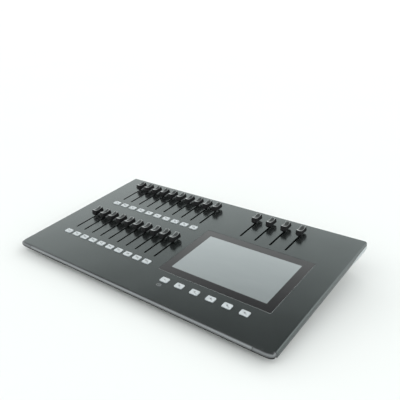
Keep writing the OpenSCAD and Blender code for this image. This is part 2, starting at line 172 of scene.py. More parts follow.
class KeySizes(bpy.types.PropertyGroup):
    """Shape of a key."""
    corner: mm(1.5, "Corner", "Corner radius of a key")
    round_over: mm(0.55, "Round-over", "Radius along a key's top edge")
    flat: mm(1.6, "Flat", "How far the flat of a key's top stands in from its edge")
    sink: mm(0.08, "Sink", "How far that flat lies below the edge")
    flange: mm(1, "Flange", "Width of the flange that keeps a key under the cover")
    flange_height: mm(1.2, "Flange height", "Thickness of that flange")
    numeral: mm(3.8, "Numeral", "Height of a key's numeral")
    stretch: number(1.5, "Stretch", "How much wider the numerals are than their type")


class ScreenSizes(bpy.types.PropertyGroup):
    """Sizes of the touch screen."""
    lit_width: mm(152.4, "Lit width", "Width of the display's lit area")
    lit_depth: mm(91.4, "Lit depth", "Depth of the display's lit area")
    corner: mm(2, "Corner", "Corner radius of the glass")
    arris: mm(0.35, "Arris", "Width of the bevel around the glass, which carries a painted highlight")


class Finishes(bpy.types.PropertyGroup):
    """Colours of the desk's finishes."""
    cover: colour((0.098, 0.111, 0.110), "Cover", "Satin black coating of the top cover")
    trim: colour((0.17, 0.178, 0.182), "Trim", "Front trim")
    # Pale band under the coating on the deep side rims: a painted reflection of the floor.
    cheek: colour((0.46, 0.50, 0.52), "Cheek", "Pale lower band of the deep side rims, a painted reflection of the floor")
    pan: colour((0.022, 0.022, 0.024), "Pan", "Textured coating of the base pan")
    knob: colour((0.005, 0.005, 0.0055), "Knob", "Moulded fader knobs")
    # Much lighter copy of the knob's black on the rims of its top: a painted highlight.
    knob_rim: colour((0.17, 0.18, 0.18), "Knob rim", "Rims of the knob tops, a painted highlight")
    knob_dish: colour((0.034, 0.037, 0.037), "Knob dish", "Hollow of a knob")
    key: colour((0.50, 0.53, 0.545), "Key", "Frosted key plastic")
    numeral: colour((0.07, 0.075, 0.08), "Numeral", "Printed marks on the keys")
    display: colour((0.31, 0.345, 0.35), "Display", "Unlit display under the glass")
    floor: colour((0.75, 0.76, 0.75), "Floor", "Pale floor of the stage")


class StageSettings(bpy.types.PropertyGroup):
    """Camera and light."""
    azimuth: angle(37.93, "Azimuth", "Direction the camera looks from, round from the front")
    elevation: angle(20.96, "Elevation", "How far the camera looks down")
    aim: bpy.props.FloatVectorProperty(name="Aim", description="Point the camera looks at", size=3,
                                       default=(-0.0806, 0.1417, 0.0379), subtype="TRANSLATION",
                                       unit="LENGTH", precision=5)
    distance: mm(900, "Distance", "From the camera to the point it looks at")
    lens: number(45.1, "Lens", "Focal length for a 36 mm wide picture")
    fill: number(0.25, "Fill", "Strength of the broad light from overhead")
    key: number(0.2, "Key light", "Strength of the soft light from behind on the left")
    walls: number(1.9, "Walls", "Brightness of the room's walls")
    ceiling: number(0.1, "Ceiling", "Brightness of the room overhead")
    front: number(1.35, "Front", "Brightness of the ceiling in front of the desk")
    front_start: number(0.05, "Front start", "How far forward the bright part in front starts")
    front_full: number(0.4, "Front full", "How far forward it reaches its full brightness")
    low_edge: number(0.64, "Low edge", "Height in the sky where the walls start to fade")
    high_edge: number(0.86, "High edge", "Height in the sky where the dark ceiling begins")
    left_rise: number(0.226, "Left rise", "How much lower the walls' fade lies on the left")


GROUPS = {"desk_cover": CoverSizes, "desk_knob": KnobSizes, "desk_key": KeySizes,
          "desk_screen": ScreenSizes, "desk_finish": Finishes, "desk_stage": StageSettings}


def sizes(group):
    """The scene's values for one group."""
    return getattr(bpy.context.scene, group)


# ---------- finishes

class Finish:
    """A node material under construction, with short names for the nodes it uses."""

    def __init__(self, name):
        self.material = bpy.data.materials.new(name)
        self.material.use_nodes = True
        self.nodes = self.material.node_tree.nodes
        self.links = self.material.node_tree.links
        self.shader = self.nodes["Principled BSDF"]

    def set(self, **values):
        """Sets constant values on the shader's own sockets, with _ for a space in a name."""
        for key, value in values.items():
            self.shader.inputs[key.replace("_", " ")].default_value = value
        return self

    def link(self, output, socket):
        """Links an output to a socket of the shader, by the socket's name."""
        self.links.new(output, self.shader.inputs[socket])

    def place(self, scale=(1, 1, 1), turn=(0, 0, 0)):
        """Object coordinates, scaled and turned."""
        texture = self.nodes.new("ShaderNodeTexCoord")
        mapping = self.nodes.new("ShaderNodeMapping")
        mapping.inputs["Scale"].default_value = scale
        mapping.inputs["Rotation"].default_value = turn
        self.links.new(texture.outputs["Object"], mapping.inputs["Vector"])
        return mapping.outputs["Vector"]

    def noise(self, scale, detail=2.0, rough=0.5, where=None):
        """Noise at a number of bumps to the metre."""
        node = self.nodes.new("ShaderNodeTexNoise")
        node.inputs["Scale"].default_value = scale
        node.inputs["Detail"].default_value = detail
        node.inputs["Roughness"].default_value = rough
        self.links.new(where if where else self.place(), node.inputs["Vector"])
        return node.outputs["Fac"]

    def ramp(self, value, low, high, start=0.0, end=1.0):
        """Spreads value from the range low-high onto start-end."""
        node = self.nodes.new("ShaderNodeMapRange")
        node.inputs["From Min"].default_value = low
        node.inputs["From Max"].default_value = high
        node.inputs["To Min"].default_value = start
        node.inputs["To Max"].default_value = end
        self.links.new(value, node.inputs["Value"])
        return node.outputs["Result"]

    def blend(self, factor, first, second):
        """Mixes two colours; either may be an output."""
        node = self.nodes.new("ShaderNodeMix")
        node.data_type = "RGBA"
        self.links.new(factor, node.inputs["Factor"])
        for socket, value in ((node.inputs[6], first), (node.inputs[7], second)):
            if isinstance(value, bpy.types.NodeSocket):
                self.links.new(value, socket)
            else:
                socket.default_value = (*value, 1)
        return node.outputs[2]

    def bump(self, height, strength, distance):
        """Raises the surface by height."""
        node = self.nodes.new("ShaderNodeBump")
        node.inputs["Strength"].default_value = strength
        node.inputs["Distance"].default_value = distance
        self.links.new(height, node.inputs["Height"])
        return node.outputs["Normal"]


def shade(rgb, factor):
    """A colour made lighter or darker."""
    return tuple(min(1.0, c * factor) for c in rgb)


def coated_metal(name, rgb, roughness, metallic, grain=2600, depth=0.10):
    """Baked coating: a fine orange-peel grain, faint handling marks and a little dust."""
    finish = Finish(name).set(Metallic=metallic)
    smudges = finish.noise(14, 4, 0.6)
    speckle = finish.noise(grain, 1)
    dust = finish.ramp(finish.noise(900, 3, 0.7), 0.66, 0.74)
    base = finish.blend(finish.ramp(smudges, 0.3, 0.7), shade(rgb, 0.94), shade(rgb, 1.06))
    base = finish.blend(finish.ramp(dust, 0, 1, 0, 0.05), base, (0.5, 0.5, 0.48))
    finish.link(base, "Base Color")
    finish.link(finish.ramp(smudges, 0.25, 0.75, roughness * 0.93, roughness * 1.08), "Roughness")
    finish.link(finish.bump(speckle, depth, 0.00004), "Normal")
    return finish.material


def moulded_plastic(name, rgb, roughness, grain=3800, depth=0.08, ior=1.45):
    """Moulded plastic with a fine spark-eroded grain and polished wear where hands touch it."""
    finish = Finish(name).set(IOR=ior)
    wear = finish.noise(90, 3, 0.6)
    finish.link(finish.blend(finish.ramp(wear, 0.35, 0.75), rgb, shade(rgb, 1.5)), "Base Color")
    finish.link(finish.ramp(wear, 0.3, 0.7, roughness * 1.1, roughness * 0.82), "Roughness")
    finish.link(finish.bump(finish.noise(grain, 1), depth, 0.00004), "Normal")
    return finish.material


def key_plastic(name, rgb):
    """Frosted translucent plastic: light spreads inside it, and its top is slightly worn."""
    finish = Finish(name).set(Subsurface_Weight=0.35, Subsurface_Radius=(0.004, 0.004, 0.0042),
                              Subsurface_Scale=0.4, IOR=1.49)
    cloud = finish.noise(160, 3, 0.5)
    finish.link(finish.blend(cloud, shade(rgb, 0.96), shade(rgb, 1.03)), "Base Color")
    finish.link(finish.ramp(cloud, 0.3, 0.7, 0.34, 0.46), "Roughness")
    finish.link(finish.bump(finish.noise(5200, 1), 0.06, 0.00003), "Normal")
    return finish.material


def matt(name, rgb, roughness, scale, low, high):
    """A matt colour, a little uneven, as printed ink and paper are."""
    finish = Finish(name).set(Roughness=roughness)
    finish.link(finish.blend(finish.noise(scale), shade(rgb, low), shade(rgb, high)), "Base Color")
    return finish.material


def steel(name, rgb, roughness, streaks=(40, 2200, 2200)):
    """Plated steel with rolling streaks."""
    finish = Finish(name).set(Metallic=1.0)
    streak = finish.noise(1, 3, 0.6, finish.place(streaks))
    finish.link(finish.blend(streak, shade(rgb, 0.8), shade(rgb, 1.15)), "Base Color")
    finish.link(finish.ramp(streak, 0.3, 0.7, roughness * 0.8, roughness * 1.2), "Roughness")
    finish.link(finish.bump(streak, 0.05, 0.00003), "Normal")
    return finish.material


def wiping_marks(finish):
    """Faint marks where a cloth has gone across the screen."""
    return finish.noise(1, 4, 0.65, finish.place((18, 60, 18), (0, 0, 0.6)))


def screen_glass(name):
    """Black-backed cover glass: almost a mirror."""
    finish = Finish(name).set(IOR=1.75)
    wipes = wiping_marks(finish)
    finish.link(finish.blend(wipes, (0.006, 0.006, 0.007), (0.012, 0.012, 0.013)), "Base Color")
    finish.link(finish.ramp(wipes, 0.35, 0.75, 0.04, 0.11), "Roughness")
    return finish.material


def unlit_display(name, rgb):
    """A display that is off, under glass: silvery where it mirrors light, nearly black elsewhere."""
    finish = Finish(name).set(Metallic=0.55, Coat_Weight=1.0, Coat_Roughness=0.05, Coat_IOR=1.5)
    wipes = wiping_marks(finish)
    finish.link(finish.blend(wipes, shade(rgb, 0.94), shade(rgb, 1.05)), "Base Color")
    finish.link(finish.ramp(wipes, 0.3, 0.7, 0.17, 0.24), "Roughness")
    return finish.material


def rubber(name, rgb):
    """Matt rubber with a bloom of dust."""
    finish = Finish(name).set(Roughness=0.85)
    bloom = finish.noise(260, 4, 0.7)
    finish.link(finish.blend(finish.ramp(bloom, 0.4, 0.8), rgb, shade(rgb, 2.6)), "Base Color")
    finish.link(finish.bump(finish.noise(3200, 2), 0.2, 0.00005), "Normal")
    return finish.material


def board(name):
    """Solder mask with a faint weave of glass under it."""
    finish = Finish(name).set(Roughness=0.35)
    weave = finish.noise(1, 2, 0.5, finish.place((2500, 2500, 50)))
    finish.link(finish.blend(weave, (0.01, 0.11, 0.045), (0.02, 0.17, 0.07)), "Base Color")
    return finish.material


FINISHES = {}


def make_finishes():
    """Every finish, by its record slot or its own plain name."""
    rgb = sizes("desk_finish")
    FINISHES.update({
        "cover_paint": coated_metal("satin black coating", rgb.cover, 0.22, 0.9),
        # Pale finish for the deep side rims below the coating: a painted reflection of the floor.
        "cheek_painted_reflection": coated_metal("pale rim band painted reflection", rgb.cheek, 0.3, 0.85),
        "pan_paint": coated_metal("textured black coating", rgb.pan, 0.6, 0.0, 1500, 0.5),
        "trim_plastic": coated_metal("satin grey trim", rgb.trim, 0.24, 0.9, 3600, 0.05),
        "trim_cap": coated_metal("satin grey cap", shade(rgb.trim, 0.75), 0.26, 0.9, 3600, 0.05),
        # Near-black finish on the lower half of the front nose: painted shade.
        "trim_painted_shade": moulded_plastic("trim underside painted shade", (0.004, 0.004, 0.0045), 0.5, ior=1.2),
        "screen_glass": screen_glass("black cover glass"),
        # Light grey finish on the glass's bevel: a painted highlight.
        "glass_arris_highlight": moulded_plastic("glass edge painted highlight", (0.27, 0.285, 0.285), 0.25),
        "unlit_display": unlit_display("unlit display", rgb.display),
        "display_metal": steel("plated tray steel", (0.5, 0.51, 0.53), 0.35),
        # Near-black housing steel, seen through the fader slots: it stands partly for the real dark dust shield
        # under them and partly is painted shade inside the slots.
        "fader_steel": steel("dark housing steel and painted slot shade", (0.03, 0.03, 0.032), 0.5),
        "lever_steel": steel("lever steel", (0.55, 0.55, 0.56), 0.3),
        "board_laminate": board("board laminate"),
        "connector_plastic": moulded_plastic("socket plastic", (0.02, 0.02, 0.022), 0.42),
        "contact_gold": steel("gold contact", (0.75, 0.55, 0.22), 0.25),
        "knob_plastic": moulded_plastic("knob plastic", rgb.knob, 0.42, ior=1.25),
        # Painted highlight on the rims of a knob's top.
        "knob_rim": moulded_plastic("knob rim painted highlight", rgb.knob_rim, 0.3, depth=0.04),
        "knob_dish": moulded_plastic("knob hollow", rgb.knob_dish, 0.5),
        "key_plastic": key_plastic("frosted key plastic", rgb.key),
        "numeral_ink": matt("grey key print", rgb.numeral, 0.6, 2400, 0.9, 1.15),
        "surface_ink": matt("grey surface print", (0.30, 0.31, 0.32), 0.6, 2400, 0.9, 1.15),
        "foot_rubber": rubber("foot rubber", (0.018, 0.018, 0.018)),
        "screw_steel": steel("blackened screw steel", (0.16, 0.16, 0.17), 0.4),
        "floor": matt("pale floor", rgb.floor, 0.9, 3, 0.99, 1.01),
    })


# ---------- modelling helpers

def add_object(name, bm, finishes):
    """Puts a bmesh into the scene as a smooth-shaded object, and frees it."""
    mesh = bpy.data.meshes.new(name)
    bm.to_mesh(mesh)
    bm.free()
    for slot in finishes:
        mesh.materials.append(FINISHES[slot])
    mesh.shade_smooth()
    thing = bpy.data.objects.new(name, mesh)
    bpy.context.scene.collection.objects.link(thing)
    return thing


def bevel_edges(thing, width, least_angle):
    """Rounds every edge that is sharper than an angle in degrees."""
    edge = thing.modifiers.new("Edges", "BEVEL")
    edge.width = width
    edge.segments = 2
    edge.limit_method = "ANGLE"
    edge.angle_limit = math.radians(least_angle)


def weigh_normals(thing):
    """Keeps broad flat faces flat where they meet narrow rounded ones."""
    even = thing.modifiers.new("Even shading", "WEIGHTED_NORMAL")
    even.mode = "FACE_AREA"
    even.weight = 60
    even.keep_sharp = False


def piece(name, mesh_maker, finishes, lean=True, bevel=0.0, solidify=0.0, even=True):
    """A new piece whose place is in its mesh. mesh_maker fills a bmesh; lean puts it on the slope."""
    bm = bmesh.new()
    mesh_maker(bm)
    if lean:
        bmesh.ops.transform(bm, matrix=SURFACE, verts=bm.verts)
    thing = add_object(name, bm, finishes)
    if solidify:
        wall = thing.modifiers.new("Wall", "SOLIDIFY")
        wall.thickness = solidify
        wall.offset = -1
        wall.use_even_offset = True
    if bevel:
        bevel_edges(thing, bevel, 38)
    if even:
        weigh_normals(thing)
    return thing


def stand_for(thing, body, node=None):
    """The piece rides on a body and may stand for a CAD node."""
    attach(thing, body)
    if node:
        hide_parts(node)


def round_over(bm, edges, width, segments=3):
    """Rounds edges with the bevel operator."""
    bmesh.ops.bevel(bm, geom=edges, offset=width, segments=segments, profile=0.5,
                    affect="EDGES", material=-1, clamp_overlap=True)


def slab(bm, centre, size, corner, steps, top=0.0):
    """A closed flat slab with round corners, and a rounded top edge where top is given."""
    made = bmesh.ops.create_grid(bm, x_segments=1, y_segments=1, size=0.5)
    low = centre.z - size.z / 2
    move = Matrix.Translation((centre.x, centre.y, low)) @ Matrix.Diagonal((size.x, size.y, 1, 1))
    bmesh.ops.transform(bm, matrix=move, verts=made["verts"])
    made = bmesh.ops.bevel(bm, geom=made["verts"], offset=corner, segments=steps, profile=0.5,
                           affect="VERTICES", material=-1)
    made = bmesh.ops.extrude_face_region(bm, geom=[made["verts"][0].link_faces[0]], use_keep_orig=True)
    lid = next(f for f in made["geom"] if isinstance(f, bmesh.types.BMFace))
    bmesh.ops.translate(bm, vec=(0, 0, size.z), verts=lid.verts)
    if top:
        round_over(bm, lid.edges[:], top)


def loop(bm, points):
    """A closed chain of edges through points; returns the edges."""
    verts = [bm.verts.new(p) for p in points]
    return [bm.edges.new((a, b)) for a, b in zip(verts, verts[1:] + verts[:1])]


def chain(bm, points):
    """An open chain of edges through points; returns the edges."""
    verts = [bm.verts.new(p) for p in points]
    return [bm.edges.new((a, b)) for a, b in zip(verts, verts[1:])]


def skin(bm, rows):
    """Bridges each row of edges to the next."""
    for first, second in zip(rows, rows[1:]):
        bmesh.ops.bridge_loops(bm, edges=first + second)


def text_mesh(words):
    """The mesh of a short numeral of unit height, centred on the origin and lying flat."""
    curve = bpy.data.curves.new("numeral", "FONT")
    curve.body = words
    curve.extrude = 0.01
    curve.resolution_u = 3
    curve.align_x = "CENTER"
    curve.align_y = "CENTER"
    thing = bpy.data.objects.new("numeral", curve)
    bpy.context.scene.collection.objects.link(thing)
    bpy.context.view_layer.update()
    graph = bpy.context.evaluated_depsgraph_get()
    mesh = bpy.data.meshes.new_from_object(thing.evaluated_get(graph))
    bpy.data.objects.remove(thing)
    return mesh


def clean(bm):
    """Merges doubles and turns every face outwards."""
    bmesh.ops.remove_doubles(bm, verts=bm.verts, dist=0.001 * MM)
    bmesh.ops.recalc_face_normals(bm, faces=bm.faces)


# ---------- top cover

# Share of a side rim's depth that is coated, and how much less that is where the rim is deep; below the coating
# the deep part gets a pale finish, a painted reflection of the floor.
COATED_SHARE, REFLECTION_SHARE = 0.98, 0.34

# The fine line along a side rim: shares of its depth, and 1 where the line is cut in.
GROOVE_ROWS = ((0.48, 0), (0.50, 1), (0.56, 1), (0.58, 0))


def between(first, last, steps):
    """Evenly spaced values from first to last, both included."""
    return [first + (last - first) * i / steps for i in range(steps + 1)]


def arc(cx, cy, rx, ry, start, end, steps):
    """Points along part of an ellipse, from one angle to another in degrees."""
    angles = [math.radians(a) for a in between(start, end, steps)]
    return [(cx + rx * math.cos(a), cy + ry * math.sin(a)) for a in angles]


def both_sides(right):
    """A chain on the right half, carried on by its mirror image on the left half."""
    return right + [(-x, y) for x, y in reversed(right)]


def end_radius():
    """Radius of the round that ends the deep part of a side rim at the back."""
    s = sizes("desk_cover")
    return s.cheek - s.back_rim + MM


def rim_depth(y):
    """Depth of the rim at a place along the side: deeper near the back, round at its end."""
    s = sizes("desk_cover")
    start, full, turn = DEPTH - s.ramp_start, DEPTH - s.ramp_end, DEPTH - end_radius()
    if y <= start:
        return s.rim
    if y <= full:
        return s.rim + (s.cheek - s.rim) * (y - start) / (full - start)
    if y <= turn:
        return s.cheek
    along = min(1.0, (y - turn) / end_radius())
    return s.back_rim + (s.cheek - s.back_rim) * math.sqrt(1 - along * along)


def deepening(y):
    """How far the side rim has grown from its plain depth (0) to its full depth (1)."""
    s = sizes("desk_cover")
    return min(1.0, max(0.0, (rim_depth(y) - s.rim) / (s.cheek - s.rim)))


def coated_depth(y):
    """How far down the coating reaches on a rim; below it, the deep part of a side rim gets a pale finish, a
    painted reflection of the floor.
    """
    s = sizes("desk_cover")
    share = COATED_SHARE - REFLECTION_SHARE * deepening(y)
    return max(min(rim_depth(y), s.rim) * share, s.bend + 0.4 * MM)


def side_stations():
    """Places along a side where the rim needs a vertex."""
    s = sizes("desk_cover")
    full, turn = DEPTH - s.ramp_end, DEPTH - end_radius()
    return ([s.corner_sweep + s.trim_depth] + between(DEPTH - s.ramp_start, full, 4)
            + [(full + turn) / 2] + between(turn, DEPTH - s.back_corner, 8)[:-1])


def rim_path(inset):
    """The sides and back of the cover from above, drawn in by inset."""
    s = sizes("desk_cover")
    radius = max(s.back_corner - inset, 0.2 * MM)
    corner = arc(HALF_W - s.back_corner, DEPTH - s.back_corner, radius, radius, 0, 90, 8)
    return both_sides([(HALF_W - inset, y) for y in side_stations()] + corner)


def front_path():
    """The front edge of the sheet, behind the trim, from left to right."""
    s = sizes("desk_cover")
    rx, ry = s.corner_round - s.trim_depth, s.corner_sweep - s.trim_depth
    side_end = (HALF_W - s.trim_depth, s.corner_sweep + s.trim_depth)
    curve = arc(HALF_W - s.corner_round, s.corner_sweep, rx, -ry, 0, 90, 8)
    return both_sides([side_end] + curve)[::-1]


def opening(bm, middle, width, depth, corner, steps):
    """The edge loop of an opening with round corners."""
    half_w, half_d = width / 2 - corner, depth / 2 - corner
    points = []
    for sx, sy, start in ((1, 1, 0), (-1, 1, 90), (-1, -1, 180), (1, -1, 270)):
        points += arc(middle.x + sx * half_w, middle.y + sy * half_d, corner, corner,
                      start, start + 90, steps)
    return loop(bm, [(x, y, 0) for x, y in points])


def cover_sheet(bm):
    """The cover as one skin: its top with every opening, bent down into the rims."""
    s, k, g = sizes("desk_cover"), sizes("desk_key"), sizes("desk_screen")
    top = rim_path(s.bend)
    front = front_path()
    outline = loop(bm, [(x, y, 0) for x, y in top + front])
    edges = list(outline)
    for node in FADERS:
        middle_of_slot = panel_middle(node) - Vector((0, FADER_TRAVEL / 2, 0))
        edges += opening(bm, middle_of_slot, s.slot, s.slot_length, s.slot / 2 - 0.05 * MM, 5)
    for node in KEYS:
        low, high = panel_box(node)
        width = high.x - low.x - 2 * k.flange + 2 * s.key_gap
        depth = high.y - low.y - 2 * k.flange + 2 * s.key_gap
        edges += opening(bm, panel_middle(node), width, depth, k.corner, 4)
    low, high = panel_box("display_glass")
    edges += opening(bm, (low + high) / 2, high.x - low.x + 2 * s.glass_gap,
                     high.y - low.y + 2 * s.glass_gap, g.corner, 5)
    bmesh.ops.triangle_fill(bm, edges=edges, use_beauty=True, normal=(0, 0, 1))
    rows = [outline[:len(top) - 1]]
    for inset, z in arc(s.bend, -s.bend, s.bend, s.bend, 90, 180, 6)[1:]:
        rows.append(chain(bm, [(x, y, z) for x, y in rim_path(inset)]))
    for share, cut in GROOVE_ROWS:
        least = s.bend + share * MM / 2
        rows.append(chain(bm, [(x, y, -max(min(rim_depth(y), s.rim) * share, least))
                               for x, y in rim_path(cut * s.groove)]))
    rows.append(chain(bm, [(x, y, -coated_depth(y)) for x, y in rim_path(0)]))
    rows.append(chain(bm, [(x - math.copysign(s.tuck * deepening(y), x), y, -rim_depth(y))
                           for x, y in rim_path(0)]))
    skin(bm, rows)
    clean(bm)
    if max(bm.faces, key=lambda f: f.calc_area()).normal.z < 0:
        bmesh.ops.reverse_faces(bm, faces=bm.faces)
    # Faces below the coating on the deep part of a side rim get a pale finish: a painted reflection of the floor.
    for face in bm.faces:
        middle = face.calc_center_median()
        if deepening(middle.y) > 0 and middle.z < -coated_depth(middle.y):
            face.material_index = 1


def trim_rows(inset):
    """The front edge's path at one depth, from the cap's inner end round to its end on the side."""
    s = sizes("desk_cover")
    end = s.corner_sweep + s.trim_depth
    rx, ry = s.corner_round - inset, s.corner_sweep - inset
    curve = arc(HALF_W - s.corner_round, s.corner_sweep, rx, -ry, 90, 0, 10)
    start = [(HALF_W - s.cap_length, inset), (HALF_W - (s.cap_length + s.corner_round) / 2, inset)]
    return start + curve + [(HALF_W - inset, (s.corner_sweep + end) / 2), (HALF_W - inset, end)]


def nose_profile():
    """The trim's section as (inset, height) pairs: flat on top, round in front, flat below."""
    s = sizes("desk_cover")
    radius = s.trim_height / 2
    round_part = arc(radius, -radius, radius, radius, 90, 270, 14)
    return [(s.trim_depth, 0)] + round_part + [(s.trim_depth, -s.trim_height)]


def swept_trim(bm, path_at):
    """A closed solid with the nose profile along a path that is known at every inset."""
    rows = [chain(bm, [(x, y, z) for x, y in path_at(inset)]) for inset, z in nose_profile()]
    skin(bm, rows + [rows[0]])
    bmesh.ops.holes_fill(bm, edges=[e for e in bm.edges if e.is_boundary], sides=0)
    clean(bm)
    # Faces on the lower half of the nose get a near-black finish: painted shade for the dark that this half
    # mirrors from under the desk.
    for face in bm.faces:
        if face.calc_center_median().z < -sizes("desk_cover").trim_height / 2:
            face.material_index = 1


def corner_cap(bm, side):
    """One moulded corner cap."""
    swept_trim(bm, trim_rows)
    if side < 0:
        bmesh.ops.scale(bm, vec=(-1, 1, 1), verts=bm.verts)
        bmesh.ops.reverse_faces(bm, faces=bm.faces)


def trim_strip(bm):
    """The straight strip between the two corner caps."""
    s = sizes("desk_cover")
    half = HALF_W - s.cap_length - s.seam
    swept_trim(bm, lambda inset: [(-half, inset), (0, inset), (half, inset)])


class DESK_OT_cover(bpy.types.Operator):
    """Top cover: one bent sheet with all its slots and openings"""
    bl_idname = "desk.cover"
    bl_label = "Top cover"

    def execute(self, context):
        s = sizes("desk_cover")
        cover = piece("top_cover_sheet", cover_sheet, ["cover_paint", "cheek_painted_reflection"],
                      bevel=s.cut_edge, solidify=s.sheet - 0.02 * MM)
        stand_for(cover, "desk", "top_cover")
        return {"FINISHED"}


class DESK_OT_trim(bpy.types.Operator):
    """Front trim: a rounded strip between two corner caps"""
    bl_idname = "desk.trim"
    bl_label = "Front trim"

    def execute(self, context):
        edge = sizes("desk_cover").trim_edge
        strip = piece("front_strip", trim_strip, ["trim_plastic", "trim_painted_shade"], bevel=edge)
        stand_for(strip, "desk", "front_trim")
        for side, name in ((-1, "left"), (1, "right")):
            cap = piece(f"corner_cap_{name}", lambda bm, s=side: corner_cap(bm, s),
                        ["trim_cap", "trim_painted_shade"], bevel=edge)
            stand_for(cap, "desk")
        return {"FINISHED"}


# ---------- faders

# Shares of a knob's half width or half length: the hollow's reach each way, how far back its
# middle lies, and the sag's reach.
HOLLOW_ACROSS, HOLLOW_ALONG, HOLLOW_BACK, SAG_ALONG = 0.84, 0.78, 0.12, 0.9
HOLLOW_FLOOR = 0.95     # share of the hollow that has the hollow's finish
FOOT_SHARE = 0.25       # share of the height over which the foot is drawn in
CORNER_PULL = 0.15      # how much a knob's corners are drawn in, in plan


def hollow_place(across, along):
    """How far a point of a knob's top is from the middle of its hollow; 1 is the hollow's edge."""
    return (abs(across / HOLLOW_ACROSS) ** 3
            + abs((along - HOLLOW_BACK) / HOLLOW_ALONG) ** 3) ** (1 / 3)


def knob(bm, length, width, height):
    """A knob with a sagging, hollowed top between two lips, drawn in at the waist."""
    k = sizes("desk_knob")
    bmesh.ops.create_cube(bm, size=2)
    bmesh.ops.subdivide_edges(bm, edges=bm.edges, cuts=15, use_grid_fill=True)
    for face in bm.faces:
        middle = face.calc_center_median()
        if middle.z > 0.99:
            # Top faces outside the hollow get a much lighter copy of the knob's black, a painted highlight where
            # the ridges catch light; the hollow gets a copy between the two.
            in_hollow = hollow_place(middle.x, middle.y) < HOLLOW_FLOOR
            face.material_index = 2 if in_hollow else 1
    for vertex in bm.verts:
        across, along, up = vertex.co
        share = (up + 1) / 2
        foot = k.undercut * max(0.0, 1 - share / FOOT_SHARE)
        half = width / 2 - k.waist * (1 - along * along) - k.taper * share - foot
        reach = length / 2 - k.lip_in * share - foot
        inside = max(0.0, 1 - hollow_place(across, along) ** 3)
        sag = k.sag * max(0.0, 1 - (along / SAG_ALONG) ** 2)
        top = height - sag - k.hollow * min(1.0, 2 * inside)
        vertex.co = Vector((half * across * math.sqrt(1 - CORNER_PULL * along * along),
                            reach * along * math.sqrt(1 - CORNER_PULL * across * across), share * top))
    bm.normal_update()
    sharp = [e for e in bm.edges if e.calc_face_angle(0) > math.radians(48)]
    round_over(bm, sharp, k.rounding, 3)


def add_fader(node):
    """The knob of one fader, and its steel lever with the carriage under it."""
    k = sizes("desk_knob")
    low, high = panel_box(node)
    spot = panel_middle(node)
    length, width = high.y - low.y, high.x - low.x

    def knob_on_spot(bm):
        knob(bm, length, width, high.z - k.lift)
        bmesh.ops.translate(bm, vec=spot + Vector((0, 0, k.lift)), verts=bm.verts)

    def lever_on_spot(bm):
        top = k.lift + k.lever_grip
        foot = -sizes("desk_cover").sheet - k.lever_drop
        middle = Vector((spot.x, spot.y, (top + foot) / 2))
        slab(bm, middle, Vector((k.lever, k.lever_length, top - foot)), 0.3 * MM, 2)
        carriage = Vector((6.2, 9, 1)) * MM
        slab(bm, Vector((spot.x, spot.y, foot - carriage.z / 2)), carriage, 0.5 * MM, 2)

    top_piece = piece(f"{node}_knob", knob_on_spot, ["knob_plastic", "knob_rim", "knob_dish"])
    stand_for(top_piece, node, node)
    lever = piece(f"{node}_lever", lever_on_spot, ["lever_steel"])
    stand_for(lever, node)


class DESK_OT_faders(bpy.types.Operator):
    """Channel and playback faders: dished knobs on steel levers"""
    bl_idname = "desk.faders"
    bl_label = "Faders"

    def execute(self, context):
        for node in FADERS:
            add_fader(node)
        return {"FINISHED"}


# ---------- keys

def add_key(node, numeral):
    """One frosted key with its flange, and a small printed numeral."""
    k = sizes("desk_key")
    low, high = panel_box(node)
    middle = (low + high) / 2
    size = high - low

    def body(bm):
        cap_size = size - Vector((2 * k.flange, 2 * k.flange, k.flange_height))
        slab(bm, Vector((middle.x, middle.y, high.z - cap_size.z / 2)), cap_size, k.corner, 5,
             top=k.round_over)
        sink_flat(bm)
        slab(bm, Vector((middle.x, middle.y, low.z + k.flange_height / 2)),
             Vector((size.x, size.y, k.flange_height)), k.corner, 4)

    def mark(bm):
        bm.from_mesh(text_mesh(numeral))
        bmesh.ops.scale(bm, vec=(k.stretch * k.numeral, k.numeral, k.numeral), verts=bm.verts)
        bmesh.ops.translate(bm, vec=(middle.x, middle.y, high.z + 0.01 * MM), verts=bm.verts)

    cap = piece(f"{node}_cap", body, ["key_plastic"])
    stand_for(cap, node, node)
    print_mark = piece(f"{node}_mark", mark, ["numeral_ink"])
    stand_for(print_mark, node)


def level_faces(bm):
    """Faces that look straight up from the control surface."""
    return [f for f in bm.faces if f.normal.z > 0.99]


def sink_flat(bm):
    """Insets a key's top face and sets it a little lower, so that light rolls across it."""
    k = sizes("desk_key")
    top = max(level_faces(bm), key=lambda f: f.calc_center_median().z)
    bmesh.ops.inset_region(bm, faces=[top], thickness=k.flat, depth=0)
    bmesh.ops.translate(bm, vec=(0, 0, -k.sink), verts=top.verts)


class DESK_OT_keys(bpy.types.Operator):
    """Bump keys and screen keys, frosted white with small numerals"""
    bl_idname = "desk.keys"
    bl_label = "Keys"

    def execute(self, context):
        for n in CHANNELS:
            add_key(f"bump_button_{n}", str(int(n)))
        for n in SCREEN_KEYS:
            add_key(f"screen_key_{n}", n)
        return {"FINISHED"}


# ---------- screen

